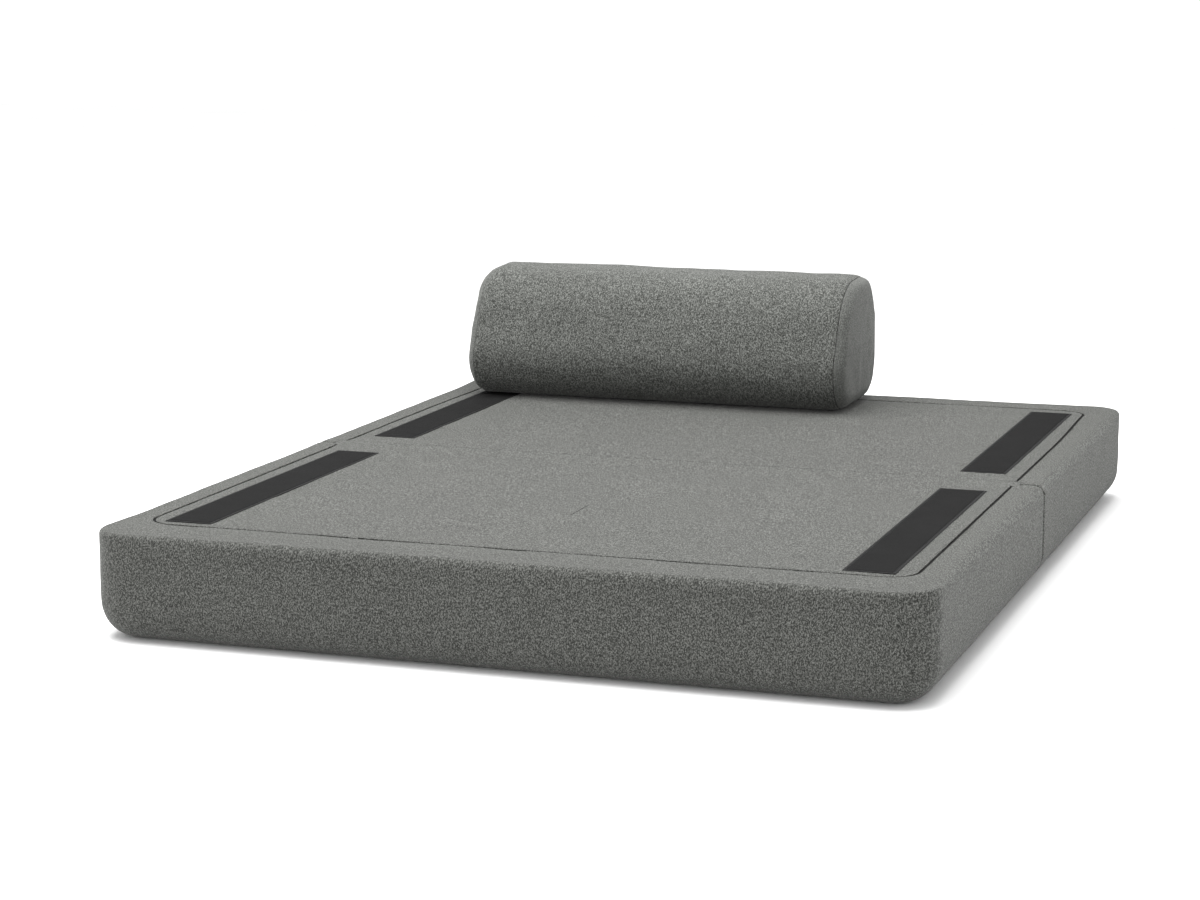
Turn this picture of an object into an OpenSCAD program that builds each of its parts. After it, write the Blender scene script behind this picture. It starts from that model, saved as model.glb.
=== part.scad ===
// Futon sofa bed: two upholstered foam slabs joined by a fabric hinge, with a loose bolster.
// Origin on the floor under the middle of the fold. X runs along the fold, +Y to the head end, Z up.

/* [Mattress] */
// Width, along the fold
pad_w = 1550; // [1200:10:1800]
// Length of the open bed, both halves together
pad_d = 2000; // [1800:10:2200]
// Thickness of each half
pad_h = 200; // [160:5:240]
// Radius of the four outer corners, seen from above
plan_r = 83; // [80:1:100]
// Radius of the top edge
top_r = 20; // [14:1:30]
// Radius of the bottom edge
bottom_r = 68; // [40:1:72]
// Gap between the two fold faces when the bed lies open
fold_gap = 1; // [0.6:0.1:3]

/* [Top panel] */
// Width of the border between the side wall and the inset seam
border_side = 61; // [40:1:90]
// Width of the border at the foot end
foot_border = 119; // [90:1:160]
// Width of the border at the head end
head_border = 90; // [80:1:120]
// Corner radius of the front half's inset seam
foot_seam_r = 55; // [30:1:80]
// Corner radius of the rear half's inset seam
head_seam_r = 50; // [30:1:60]
// Width of the stitched ditch of the inset seam
seam_ditch = 2.4; // [1.6:0.1:4]
// Half width of the hinge panel that spans the fold
hinge_half = 25; // [20:1:40]

/* [Hook-and-loop strips] */
// Width of a strip
strip_w = 92; // [60:1:110]
// Length of a strip
strip_l = 767; // [500:1:780]
// Distance from the bed's long centre line to a strip's inner edge
strip_x = 588; // [400:1:590]
// Distance from the fold to a strip's near end
strip_y = 94; // [60:1:100]
// Thickness of a strip
strip_t = 1.6; // [1:0.1:2]

/* [Bolster] */
// Length of the bolster
bolster_l = 900; // [600:10:1000]
// Place of the bolster's middle along X
bolster_x = -245; // [-260:1:260]
// Place of the lower front roll's centre along Y
bolster_y = 738; // [700:1:740]
// Rounding of the bolster's ends
bolster_end_r = 37; // [24:1:60]

/* [Zips] */
// Length of the front half's zip
front_zip_l = 740; // [400:10:780]
// Length of the rear half's zip
rear_zip_l = 1300; // [600:10:1340]
// Length of the bolster's zip
bolster_zip_l = 760; // [400:10:780]

/* [Hidden] */
$fn = 48;

// Layers, as depths below the outer surface
cover_t = 4;                  // quilted cover fabric
tape_t = 1;                   // sewn tapes on the inside of the cover
liner_t = 1.2;                // non-woven liner
liner_depth = cover_t + tape_t;
core_depth = liner_depth + liner_t;

// Places on the mattress
corner_x = pad_w / 2 - plan_r;
corner_y = pad_d / 2 - plan_r;
fold_top_r = 9;               // rounding of the upper fold edge and of the upright fold edges
fold_bottom_r = 14;
seam_x = pad_w / 2 - border_side;
// The inset seam of each half: its distance from the fold and its corner radius
foot_seam = [pad_d / 2 - foot_border, foot_seam_r];
head_seam = [pad_d / 2 - head_border, head_seam_r];
base_margin = 85;             // from the side walls to the underside panel
base_r = 40;
hinge_t = 2.4;                // hinge panel, let into both covers
hinge_x = seam_x + 12;
strip_r = 3;

// Bolster section: four rolls seen from the end, each [Y, Z, radius], counterclockwise from the
// lower front one
bolster_z = pad_h + strip_t;
rolls = [
    [bolster_y, bolster_z + 88, 88],
    [bolster_y + 165, bolster_z + 82, 82],
    [bolster_y + 141, bolster_z + 185, 104.5],
    [bolster_y + 85.5, bolster_z + 143.5, 143.5]
];
end_panel_in = 22;            // from the bolster's end to the end panel's seam
roll_sides = 48;
rim_sides = 24;
liner_slit = 2;

// Zips
zip_tilt = 35;                // how far below level the mattress zips face
bolster_zip_tilt = 40;
chain_w = 8;
chain_sunk = 0.6;             // depth of the chain below the surface
zip_tape_w = 26;
tape_play = 0.3;              // between the cover and the zip's tape
slot_w = 12;
slider_l = 18;
slider_w = 13;
slider_gap = 0.6;             // between the surface and the slider's plate
slider_plate = 2.4;
flange_t = 1;
ear_t = 1.6;
ear_in = 3.6;
ear_l = 4.4;
bar_z = 5.4;                  // height of the pull's hinge bar above the surface
bar_r = 1.2;
bar_play = 0.07;
pull_l = 38;
pull_w = 10;
pull_t = 1.8;
slider_inset = 14;            // from the chain's closed end to the slider's middle

cover_grey = [0.53, 0.53, 0.50];
end_grey = [0.58, 0.58, 0.55];
strip_black = [0.16, 0.16, 0.16];

// ---- Shared shapes ----

// What to cut from a square corner at the origin to leave a radius r
module corner_cut(r) {
    translate([-r, -r]) difference() {
        square(r + 1);
        circle(r);
    }
}

// Half of a rim's section: flat inside, rounded outside, at depth d below the surface
module rim_section(d) {
    r = plan_r - d;
    h = pad_h - 2 * d;
    difference() {
        square([r, h]);
        translate([r, h]) corner_cut(top_r - d);
        translate([r, 0]) mirror([0, 1]) corner_cut(bottom_r - d);
    }
}

// A straight run of rim beside a block of the given half sizes
module rim_run(x, y, d) {
    translate([x, y, 0]) rotate([90, 0, 0]) linear_extrude(2 * y) rim_section(d);
}

// The whole mattress's outer form at depth d below the surface
module pad_form(d) {
    translate([0, 0, d]) {
        translate([-corner_x, -corner_y, 0]) cube([2 * corner_x, 2 * corner_y, pad_h - 2 * d]);
        for (turn = [0, 180]) {
            rotate([0, 0, turn]) rim_run(corner_x, corner_y, d);
            rotate([0, 0, turn + 90]) rim_run(corner_y, corner_x, d);
        }
        for (x = [-1, 1], y = [-1, 1]) {
            turn = x > 0 ? (y > 0 ? 0 : 270) : (y > 0 ? 90 : 180);
            translate([x * corner_x, y * corner_y, 0]) rotate([0, 0, turn])
                rotate_extrude(angle = 90) rim_section(d);
        }
    }
}

// What the front half keeps of the mattress, with its rounded fold edges
module fold_form(d) {
    x = pad_w / 2 - d;
    y = fold_gap / 2 + d;
    upright_r = max(fold_top_r - d, 1);
    intersection() {
        rotate([90, 0, 90]) translate([0, 0, -x]) linear_extrude(2 * x) difference() {
            translate([-pad_d, d]) square([pad_d - y, pad_h - 2 * d]);
            translate([-y, pad_h - d]) corner_cut(upright_r);
            translate([-y, d]) mirror([0, 1]) corner_cut(max(fold_bottom_r - d, 1));
        }
        linear_extrude(pad_h) difference() {
            translate([-x, -pad_d]) square([2 * x, pad_d - y]);
            translate([x, -y]) corner_cut(upright_r);
            translate([-x, -y]) mirror([1, 0]) corner_cut(upright_r);
        }
    }
}

// The front half's form at depth d below the surface
module half_form(d) {
    intersection() {
        pad_form(d);
        fold_form(d);
    }
}

// A layer of the front half between two depths
module half_layer(outer, inner) {
    difference() {
        half_form(outer);
        half_form(inner);
    }
}

// Plan of a panel that ends near the fold, with two rounded corners at the foot
module panel_plan(x, y, r, near) {
    difference() {
        translate([-x, -y]) square([2 * x, y - near]);
        translate([x, -y]) mirror([0, 1]) corner_cut(r);
        translate([-x, -y]) mirror([1, 0]) mirror([0, 1]) corner_cut(r);
    }
}

// Plan of a half's top panel, grown by g on its seamed sides
module top_plan(seam, g) {
    panel_plan(seam_x + g, seam[0] + g, seam[1] + g, hinge_half);
}

module base_plan() {
    panel_plan(pad_w / 2 - base_margin, pad_d / 2 - base_margin, base_r, base_margin / 2);
}

// ---- Parts that both halves have, modelled as the front half ----

module half_core() {
    color("khaki") half_form(core_depth);
}

module half_liner() {
    color("white") half_layer(liner_depth, core_depth);
}

// Border, side walls and lower rim of one half, with a slot for its zip
module half_cover(seam) {
    color(cover_grey) difference() {
        half_layer(0, cover_t);
        translate([0, 0, pad_h - 2 * cover_t]) linear_extrude(4 * cover_t)
            top_plan(seam, seam_ditch / 2);
        translate([0, 0, -cover_t]) linear_extrude(3 * cover_t) base_plan();
        translate([-hinge_x, -hinge_half, pad_h - hinge_t]) cube([2 * hinge_x, pad_d, pad_h]);
        children();
    }
}

module half_top_panel(seam) {
    color(cover_grey) translate([0, 0, pad_h - cover_t]) linear_extrude(cover_t)
        top_plan(seam, -seam_ditch / 2);
}

module half_base_panel(shade) {
    color(shade) linear_extrude(cover_t) base_plan();
}

// Tape under the inset seam, which joins the top panel to the border
module half_seam_tape(seam) {
    lap = 14;
    color("gray") translate([0, 0, pad_h - liner_depth]) linear_extrude(tape_t) difference() {
        top_plan(seam, lap);
        top_plan(seam, -lap);
    }
}

// A stitched strip on the front half's top, on the side given by 1 or -1
module half_strip(side) {
    x = side > 0 ? strip_x : -strip_x - strip_w;
    color(strip_black) translate([x, -strip_y - strip_l, pad_h]) linear_extrude(strip_t)
        difference() {
            square([strip_w, strip_l]);
            translate([strip_w, strip_l]) corner_cut(strip_r);
            translate([0, strip_l]) mirror([1, 0]) corner_cut(strip_r);
            translate([strip_w, 0]) mirror([0, 1]) corner_cut(strip_r);
            mirror([1, 0]) mirror([0, 1]) corner_cut(strip_r);
        }
}

// ---- Zips, in their own frame: X along the chain, Z out of the fabric ----

// A box along the chain, used to cut a slot or to keep part of a layer
module zip_zone(length, width) {
    translate([-length / 2, -width / 2, -10]) cube([length, width, 20]);
}

module zip_slider_body() {
    top = slider_gap + slider_plate;
    color("silver") {
        translate([-slider_l / 2, -slider_w / 2, slider_gap])
            cube([slider_l, slider_w, slider_plate]);
        for (side = [0, 1]) mirror([0, side, 0]) {
            translate([-slider_l / 2, chain_w / 2 + 0.4, -cover_t + 1])
                cube([slider_l, flange_t, cover_t]);
            translate([-ear_l / 2, ear_in, top]) cube([ear_l, ear_t, bar_z + 1.6 - top]);
        }
        translate([0, -ear_in - ear_t / 2, bar_z]) rotate([-90, 0, 0])
            cylinder(h = 2 * ear_in + ear_t, r = bar_r);
    }
}

module zip_pull_tab() {
    barrel_r = bar_r + 1.2;
    barrel_l = 2 * ear_in - 0.8;
    neck = 5;
    color("silver") translate([0, 0, bar_z]) difference() {
        union() {
            translate([0, -barrel_l / 2, 0]) rotate([-90, 0, 0])
                cylinder(h = barrel_l, r = barrel_r);
            translate([-neck - 1, -pull_w / 4, -pull_t / 2]) cube([neck + 1, pull_w / 2, pull_t]);
            translate([-pull_l + pull_w / 2, -pull_w / 2, -pull_t / 2])
                cube([pull_l - pull_w / 2 - neck, pull_w, pull_t]);
            translate([-pull_l + pull_w / 2, 0, -pull_t / 2]) cylinder(h = pull_t, r = pull_w / 2);
        }
        translate([0, -barrel_l, 0]) rotate([-90, 0, 0])
            cylinder(h = 2 * barrel_l, r = bar_r + bar_play);
        translate([-pull_l + pull_w / 2, 0, -pull_t]) cylinder(h = 2 * pull_t, r = pull_w / 5);
    }
}

// Chain and tape, which follow the round of radius r that the zip is sewn into
module zip_chain_body(length, r) {
    color("black") {
        intersection() {
            zip_round(length + 20, r - cover_t - tape_play, r - liner_depth, r);
            zip_zone(length + 20, zip_tape_w);
        }
        intersection() {
            zip_round(length - 2, r - chain_sunk, r - cover_t - tape_play, r);
            zip_zone(length - 2, chain_w);
        }
    }
}

// A tube whose top touches the zip's frame when its outer radius is r
module zip_round(length, outer, inner, r) {
    translate([-length / 2, 0, -r]) rotate([0, 90, 0]) difference() {
        cylinder(h = length, r = outer);
        translate([0, 0, -1]) cylinder(h = length + 2, r = inner);
    }
}

// Moves a zip's frame onto the lower edge of the rear wall
module at_rear_zip(x = 0) {
    translate([x, pad_d / 2 - bottom_r, bottom_r]) rotate([-90 - zip_tilt, 0, 0])
        translate([0, 0, bottom_r]) children();
}

// Moves a zip's frame onto the lower edge of the front half's left wall
module at_front_zip(y = 0) {
    middle = -pad_d / 4 - 10;
    translate([-pad_w / 2 + bottom_r, middle + y, bottom_r]) rotate([0, 0, 90])
        rotate([-90 - zip_tilt, 0, 0]) translate([0, 0, bottom_r]) children();
}

// Moves a zip's frame onto the bolster's lower rear roll
module at_bolster_zip(x = 0) {
    roll = rolls[1];
    translate([bolster_x + x, roll[0], roll[1]]) rotate([-90 - bolster_zip_tilt, 0, 0])
        translate([0, 0, roll[2]]) children();
}

// ---- Front half ----

module front_foam_core() { half_core(); }
module front_liner() { half_liner(); }
module front_cover() { half_cover(foot_seam) at_front_zip() zip_zone(front_zip_l, slot_w); }
module front_top_panel() { half_top_panel(foot_seam); }
module front_base_panel() { half_base_panel(cover_grey); }
module front_seam_tape() { half_seam_tape(foot_seam); }
module front_left_hook_strip() { half_strip(-1); }
module front_right_hook_strip() { half_strip(1); }

module front_zip_chain() { at_front_zip() zip_chain_body(front_zip_l, bottom_r); }
module front_zip_slider() { at_front_zip(front_zip_l / 2 - slider_inset) zip_slider_body(); }
module front_zip_pull() { at_front_zip(front_zip_l / 2 - slider_inset) zip_pull_tab(); }

// ---- Rear half ----

module rear_foam_core() { mirror([0, 1, 0]) half_core(); }
module rear_liner() { mirror([0, 1, 0]) half_liner(); }
module rear_cover() {
    mirror([0, 1, 0]) half_cover(head_seam)
        mirror([0, 1, 0]) at_rear_zip() zip_zone(rear_zip_l, slot_w);
}
module rear_top_panel() { mirror([0, 1, 0]) half_top_panel(head_seam); }
module rear_base_panel() { mirror([0, 1, 0]) half_base_panel("dimgray"); }
module rear_seam_tape() { mirror([0, 1, 0]) half_seam_tape(head_seam); }
module rear_left_loop_strip() { mirror([0, 1, 0]) half_strip(-1); }
module rear_right_loop_strip() { mirror([0, 1, 0]) half_strip(1); }

module rear_zip_chain() { at_rear_zip() zip_chain_body(rear_zip_l, bottom_r); }
module rear_zip_slider() { at_rear_zip(rear_zip_l / 2 - slider_inset) zip_slider_body(); }
module rear_zip_pull() { at_rear_zip(rear_zip_l / 2 - slider_inset) zip_pull_tab(); }

// Band of cover fabric sewn across the fold, which is the hinge
module hinge_panel() {
    color(cover_grey) translate([-hinge_x, -hinge_half, pad_h - hinge_t])
        cube([2 * hinge_x, 2 * hinge_half, hinge_t]);
}

// ---- Bolster ----

// The outer edge of one roll's end, drawn in by d
module bolster_rim(roll, d) {
    translate([roll[0], roll[1], 0]) rotate_extrude($fn = roll_sides)
        translate([roll[2] - bolster_end_r, 0]) circle(bolster_end_r - d, $fn = rim_sides);
}

// The bolster's outer form at depth d below the surface, with rounded ends
module bolster_form(d) {
    translate([bolster_x, 0, 0]) rotate([90, 0, 90]) hull()
        for (roll = rolls, side = [-1, 1])
            translate([0, 0, side * (bolster_l / 2 - bolster_end_r)]) bolster_rim(roll, d);
}

module bolster_layer(outer, inner) {
    difference() {
        bolster_form(outer);
        bolster_form(inner);
    }
}

// Everything past the end seam on one side, given by 1 or -1
module bolster_end_zone(side) {
    seam = bolster_l / 2 - end_panel_in;
    translate([bolster_x + side * (seam + 100), bolster_y, bolster_z + 150])
        cube([200, 600, 600], center = true);
}

module bolster_foam_core() { color("khaki") bolster_form(core_depth); }

// Liner, with a slit that the foam goes in through
module bolster_liner() {
    color("white") difference() {
        bolster_layer(liner_depth, core_depth);
        at_bolster_zip() zip_zone(bolster_zip_l - 60, liner_slit);
    }
}

module bolster_cover() {
    color(cover_grey) difference() {
        bolster_layer(0, cover_t);
        bolster_end_zone(-1);
        bolster_end_zone(1);
        at_bolster_zip() zip_zone(bolster_zip_l, slot_w);
    }
}

module bolster_end(side) {
    color(end_grey) intersection() {
        bolster_layer(0, cover_t);
        bolster_end_zone(side);
    }
}

module bolster_left_end() { bolster_end(-1); }
module bolster_right_end() { bolster_end(1); }

module bolster_zip_chain() { at_bolster_zip() zip_chain_body(bolster_zip_l, rolls[1][2]); }
module bolster_zip_slider() { at_bolster_zip(bolster_zip_l / 2 - slider_inset) zip_slider_body(); }
module bolster_zip_pull() { at_bolster_zip(bolster_zip_l / 2 - slider_inset) zip_pull_tab(); }

// ---- Nodes ----

front_foam_core();
front_liner();
front_cover();
front_top_panel();
front_base_panel();
front_seam_tape();
front_left_hook_strip();
front_right_hook_strip();
front_zip_chain();
front_zip_slider();
front_zip_pull();
rear_foam_core();
rear_liner();
rear_cover();
rear_top_panel();
rear_base_panel();
rear_seam_tape();
rear_left_loop_strip();
rear_right_loop_strip();
rear_zip_chain();
rear_zip_slider();
rear_zip_pull();
hinge_panel();
bolster_foam_core();
bolster_liner();
bolster_cover();
bolster_left_end();
bolster_right_end();
bolster_zip_chain();
bolster_zip_slider();
bolster_zip_pull();
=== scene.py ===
import math

import bmesh
import bpy
from mathutils import Matrix, Vector, geometry, kdtree, noise


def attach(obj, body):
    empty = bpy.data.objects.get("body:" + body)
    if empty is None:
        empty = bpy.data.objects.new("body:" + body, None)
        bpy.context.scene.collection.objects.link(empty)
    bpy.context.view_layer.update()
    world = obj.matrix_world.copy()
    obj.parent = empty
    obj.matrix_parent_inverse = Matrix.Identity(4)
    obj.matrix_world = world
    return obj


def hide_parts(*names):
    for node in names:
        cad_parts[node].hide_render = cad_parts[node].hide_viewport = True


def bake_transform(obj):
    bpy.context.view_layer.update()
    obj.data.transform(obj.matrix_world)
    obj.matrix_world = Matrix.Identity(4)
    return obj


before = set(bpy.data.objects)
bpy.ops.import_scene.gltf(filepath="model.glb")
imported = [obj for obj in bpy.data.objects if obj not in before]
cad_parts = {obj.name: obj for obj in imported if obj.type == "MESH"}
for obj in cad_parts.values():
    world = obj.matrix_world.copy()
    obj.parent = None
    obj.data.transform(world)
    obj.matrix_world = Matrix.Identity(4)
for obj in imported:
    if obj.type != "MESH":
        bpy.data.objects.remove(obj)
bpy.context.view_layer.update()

# --------------------
# Sizes in metres and angles in degrees. Most are the same as the CAD's.
# --------------------
HALF_W = 0.775            # half the bed's width
HALF_L = 1.0              # length of one half
HIGH = 0.2
PLAN_R = 0.083            # radius of the foot end's corners, seen from above
HEAD_PLAN_R = 0.068       # and of the head end's
TOP_R = 0.020             # radius of the top edge
CORNER_EDGE_R = 0.010     # and of the top edge at the corners
BOTTOM_R = 0.068          # radius of the bottom edge
FACE = 0.0010             # from the fold's plane to a half's fold face
FOLD_TOP_R = 0.009        # radii of the fold face's top and bottom edges
FOLD_BOTTOM_R = 0.014
FOLD_GAP = 0.0003         # left between the hinge panel and what lies beside and under it
SEAM_SIDE = 0.061         # inset of the seam from the side wall
FOOT_BORDER = 0.119       # inset of the seam from the foot end's wall
HEAD_BORDER = 0.090       # and from the head end's
SEAM_R = 0.055            # radius of the seam's corners at the foot end
HEAD_SEAM_R = 0.050       # and at the head end
SEAM_BOW = 0.0095         # how far the side seams bow in towards the head end
BOW_FROM = 0.44           # distance from the fold where they start to, and length over which they do
BOW_RUN = 0.50
DITCH = 0.0016            # half the width of the seam's ditch along the sides
END_DITCH = 0.0008        # and across the ends
HINGE_HALF = 0.025        # half the hinge panel's width
HINGE_X = 0.726           # half its length
HINGE_T = 0.0024          # depth of the step it lies in
BASE_DITCH = 0.0005       # half the width of the slit at the underside panel's seam
BASE_MARGIN = 0.085       # inset of that seam from the walls
BASE_FOLD = 0.0425        # and from the fold
BASE_R = 0.040
STRIP_W = 0.092
STRIP_L = 0.767
STRIP_X = 0.588           # from the middle of the bed to a strip
STRIP_Y = 0.094           # from the fold to a strip
STRIP_T = 0.0016
STRIP_EDGE = 0.0062       # width of a strip's bare edge
STITCH_INSET = 0.0050     # from a strip's edge to its stitches
CENTRE_ROW = (-0.573, -0.470)      # ends of the short row of stitches on the front half
PANEL_T = 0.0022          # thickness of the fabric layers
BAND_T = 0.0016           # thickness of the hinge band
TAPE_T = 0.0006           # thickness of the zip tape

BOLSTER_L = 0.900
BOLSTER_X = -0.245
BOLSTER_END_R = 0.037     # radius from the bolster's side to its flat ends
END_SEAM = 0.022          # from the bolster's end to the end panel's seam
# The bolster's section is the hull of four rolls (y, z, radius), counterclockwise.
ROLLS = [(0.738, 0.2896, 0.088), (0.903, 0.2836, 0.082), (0.879, 0.3866, 0.1045),
         (0.8235, 0.3451, 0.1435)]
ZIP_ROLL = 1

FRONT_ZIP = 0.740         # lengths of the zips
REAR_ZIP = 1.300
BOLSTER_ZIP = 0.760
FRONT_ZIP_Y = -0.51       # middle of the front half's zip
ZIP_TILT = 35             # how far a zip faces down
BOLSTER_ZIP_TILT = 40
SLOT_HALF = 0.006         # half the width of a zip's slot

SINK = 0.0012             # how deep the cover is held in at its seams
FALL = 0.004              # how far from a seam the cover is still pulled in
CLOTH_FRAMES = 20
CLOTH = {"quality": 4, "mass": 0.3, "tension_stiffness": 40, "compression_stiffness": 40,
         "shear_stiffness": 15, "bending_stiffness": 2.0, "use_pressure": True,
         "uniform_pressure_force": 4.0}


# --------------------
# Materials
# --------------------
class Shader:
    """A new material and short calls to fill its node tree."""

    def __init__(self, name, roughness=0.9, metallic=0.0, sheen=0.0, specular=0.3):
        self.material = bpy.data.materials.new(name)
        self.material.use_nodes = True
        self.tree = self.material.node_tree
        self.surface = self.tree.nodes["Principled BSDF"]
        self.surface.inputs["Roughness"].default_value = roughness
        self.surface.inputs["Metallic"].default_value = metallic
        self.surface.inputs["Specular IOR Level"].default_value = specular
        self.surface.inputs["Sheen Weight"].default_value = sheen
        self.surface.inputs["Sheen Roughness"].default_value = 0.45
        self.surface.inputs["Sheen Tint"].default_value = (0.95, 0.96, 0.93, 1)
        self.place = self.tree.nodes.new("ShaderNodeTexCoord").outputs["Object"]

    def put(self, kind, values=(), **settings):
        made = self.tree.nodes.new("ShaderNode" + kind)
        for key, value in settings.items():
            setattr(made, key, value)
        for key, value in dict(values).items():
            if hasattr(value, "is_linked"):
                self.tree.links.new(value, made.inputs[key])
            else:
                made.inputs[key].default_value = value
        return made

    def stretched(self, scale, turn=(0, 0, 0)):
        return self.put("Mapping", {"Vector": self.place, "Scale": scale, "Rotation": turn}).outputs[0]

    def noise(self, scale, detail=2.0, rough=0.6, place=None):
        return self.put("TexNoise", {"Vector": place or self.place, "Scale": scale,
                                     "Detail": detail, "Roughness": rough}).outputs["Fac"]

    def cells(self, scale, place=None, random=1.0):
        return self.put("TexVoronoi", {"Vector": place or self.place, "Scale": scale,
                                       "Randomness": random}).outputs["Distance"]

    def math(self, operation, a, b=0.0, clamp=False):
        return self.put("Math", {0: a, 1: b}, operation=operation, use_clamp=clamp).outputs[0]

    def ramp(self, factor, stops, mode="LINEAR"):
        made = self.put("ValToRGB", {"Fac": factor})
        made.color_ramp.interpolation = mode
        points = made.color_ramp.elements
        while len(points) < len(stops):
            points.new(0.5)
        for point, (where, colour) in zip(points, stops):
            point.position = where
            point.color = (*colour, 1)
        return made.outputs["Color"]

    def tinted(self, colour, factor, low, high):
        """Multiplies a colour by a grey that runs from low to high with the factor."""
        grey = self.put("MapRange", {"Value": factor, "From Min": 0.25, "From Max": 0.75,
                                     "To Min": low, "To Max": high}).outputs[0]
        return self.put("VectorMath", {0: colour, 1: grey}, operation="MULTIPLY").outputs[0]

    def bumped(self, height, distance, strength=1.0):
        bump = self.put("Bump", {"Height": height, "Strength": strength, "Distance": distance})
        self.tree.links.new(bump.outputs[0], self.surface.inputs["Normal"])

    def coloured(self, colour):
        self.tree.links.new(colour, self.surface.inputs["Base Color"])

    def roughened(self, factor, low, high):
        rough = self.put("MapRange", {"Value": factor, "From Min": 0.3, "From Max": 0.7,
                                      "To Min": low, "To Max": high}).outputs[0]
        self.tree.links.new(rough, self.surface.inputs["Roughness"])


def melange(name, dark, middle, light, fleck=430.0, sheen=0.12, soft=0.0):
    """Flecked upholstery fabric: mixed yarns, a fine knit relief and slow changes of tone."""
    s = Shader(name, roughness=0.88, sheen=sheen, specular=0.18)
    laid = s.stretched((1.0, 0.34, 0.62))
    yarns = s.noise(fleck, 2.0, 0.6, laid)
    threads = s.noise(fleck * 1.9, 1.0, 0.5, laid)
    mixed = s.math("ADD", s.math("MULTIPLY", yarns, 0.6), s.math("MULTIPLY", threads, 0.4))
    spread = 0.085 + soft
    colour = s.ramp(mixed, [(0.5 - spread, dark), (0.5, middle), (0.5 + spread, light)], "EASE")
    knit = s.math("SUBTRACT", 1.0, s.cells(620.0, s.stretched((1.0, 1.0, 0.8)), 0.75))
    knitted = s.tinted(colour, knit, 0.70, 1.12)
    s.coloured(s.tinted(knitted, s.noise(2.3, 3.0, 0.55), 0.955, 1.045))
    relief = s.math("ADD", s.math("MULTIPLY", knit, 0.6), s.math("MULTIPLY", yarns, 1.1))
    s.bumped(relief, 0.0009, 0.75)
    s.roughened(yarns, 0.80, 0.95)
    return s.material


def tape(name, dark, light, pitch, depth, rough=0.75, sheen=0.0):
    """Narrow woven tape or pile, in rows across and along."""
    s = Shader(name, roughness=rough, sheen=sheen, specular=0.05)
    rows = s.put("TexWave", {"Vector": s.place, "Scale": pitch, "Distortion": 1.5, "Detail": 1.0},
                 bands_direction="Y").outputs["Fac"]
    across = s.put("TexWave", {"Vector": s.place, "Scale": pitch * 1.1, "Distortion": 1.5,
                               "Detail": 1.0}, bands_direction="X").outputs["Fac"]
    pile = s.noise(900.0, 2.0, 0.6)
    woven = s.math("ADD", s.math("MULTIPLY", rows, across), s.math("MULTIPLY", pile, 0.7))
    s.coloured(s.tinted(s.ramp(woven, [(0.15, dark), (0.95, light)]), s.noise(12.0), 0.9, 1.1))
    s.bumped(woven, depth, 0.7)
    s.roughened(pile, rough - 0.1, min(rough + 0.1, 1.0))
    return s.material


def metal(name):
    s = Shader(name, roughness=0.3, metallic=1.0, specular=0.5)
    wear = s.noise(340.0, 4.0, 0.65)
    s.coloured(s.ramp(wear, [(0.25, (0.42, 0.42, 0.41)), (0.7, (0.66, 0.66, 0.64))]))
    s.roughened(s.noise(160.0, 3.0), 0.22, 0.42)
    s.bumped(wear, 0.0002, 0.3)
    return s.material


def foam(name):
    s = Shader(name, roughness=0.95, sheen=0.1)
    pores = s.cells(420.0)
    s.coloured(s.ramp(pores, [(0.0, (0.52, 0.45, 0.28)), (0.5, (0.78, 0.71, 0.50))]))
    s.bumped(pores, 0.0012, 0.8)
    return s.material


def fleece(name):
    """Thin bonded lining, with short fibres lying every way."""
    s = Shader(name, roughness=0.92, sheen=0.2)
    fibres = s.noise(700.0, 3.0, 0.7, s.stretched((1.0, 0.25, 1.0), (0, 0, 0.5)))
    s.coloured(s.ramp(fibres, [(0.3, (0.55, 0.55, 0.53)), (0.7, (0.80, 0.80, 0.78))]))
    s.bumped(fibres, 0.0003, 0.6)
    return s.material


def grip(name):
    """Dark underside fabric with rows of small moulded dots."""
    s = Shader(name, roughness=0.9, sheen=0.1, specular=0.3)
    dots = s.math("LESS_THAN", s.cells(125.0, None, 0.0), 0.28)
    weave = s.noise(520.0, 2.0, 0.6)
    base = s.ramp(weave, [(0.3, (0.030, 0.030, 0.031)), (0.7, (0.062, 0.062, 0.063))])
    s.coloured(s.put("Mix", {"Factor": dots, 6: base, 7: (0.014, 0.014, 0.014, 1)},
                     data_type="RGBA").outputs[2])
    s.bumped(s.math("ADD", s.math("MULTIPLY", dots, 0.8), s.math("MULTIPLY", weave, 0.3)), 0.0007)
    return s.material


COVER = melange("cover_fabric", (0.0172, 0.0177, 0.0158), (0.0505, 0.0518, 0.0472),
                (0.1215, 0.1235, 0.1160))
BOLSTER = melange("bolster_fabric", (0.0195, 0.0205, 0.0182), (0.0600, 0.0622, 0.0570),
                  (0.1480, 0.1520, 0.1430))
END = melange("end_fabric", (0.045, 0.046, 0.043), (0.082, 0.085, 0.079), (0.134, 0.137, 0.129),
              fleck=520.0, soft=0.02)
GRIP = grip("base_fabric")
HOOK = tape("hook_tape", (0.004, 0.004, 0.004), (0.015, 0.015, 0.015), 110.0, 0.0007, 0.9)
LOOP = tape("loop_tape", (0.005, 0.005, 0.005), (0.014, 0.014, 0.014), 150.0, 0.0006, 0.9)
SELVEDGE = tape("selvedge", (0.007, 0.007, 0.007), (0.018, 0.018, 0.018), 260.0, 0.0003, 0.6)
THREAD = tape("thread", (0.014, 0.014, 0.014), (0.036, 0.036, 0.035), 500.0, 0.0001, 0.6)
# The seam tape is near black: partly its own dark tone and partly painted shade for the shadow in the
# seam's ditch above it.
SEAM = tape("seam_tape", (0.010, 0.010, 0.010), (0.020, 0.020, 0.019), 200.0, 0.0003, 0.85)
ZIP_TAPE = tape("zip_tape", (0.016, 0.016, 0.016), (0.040, 0.040, 0.040), 280.0, 0.0002, 0.7)
TEETH = metal("zip_teeth")
METAL = metal("zip_metal")
LINER = fleece("liner")
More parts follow.
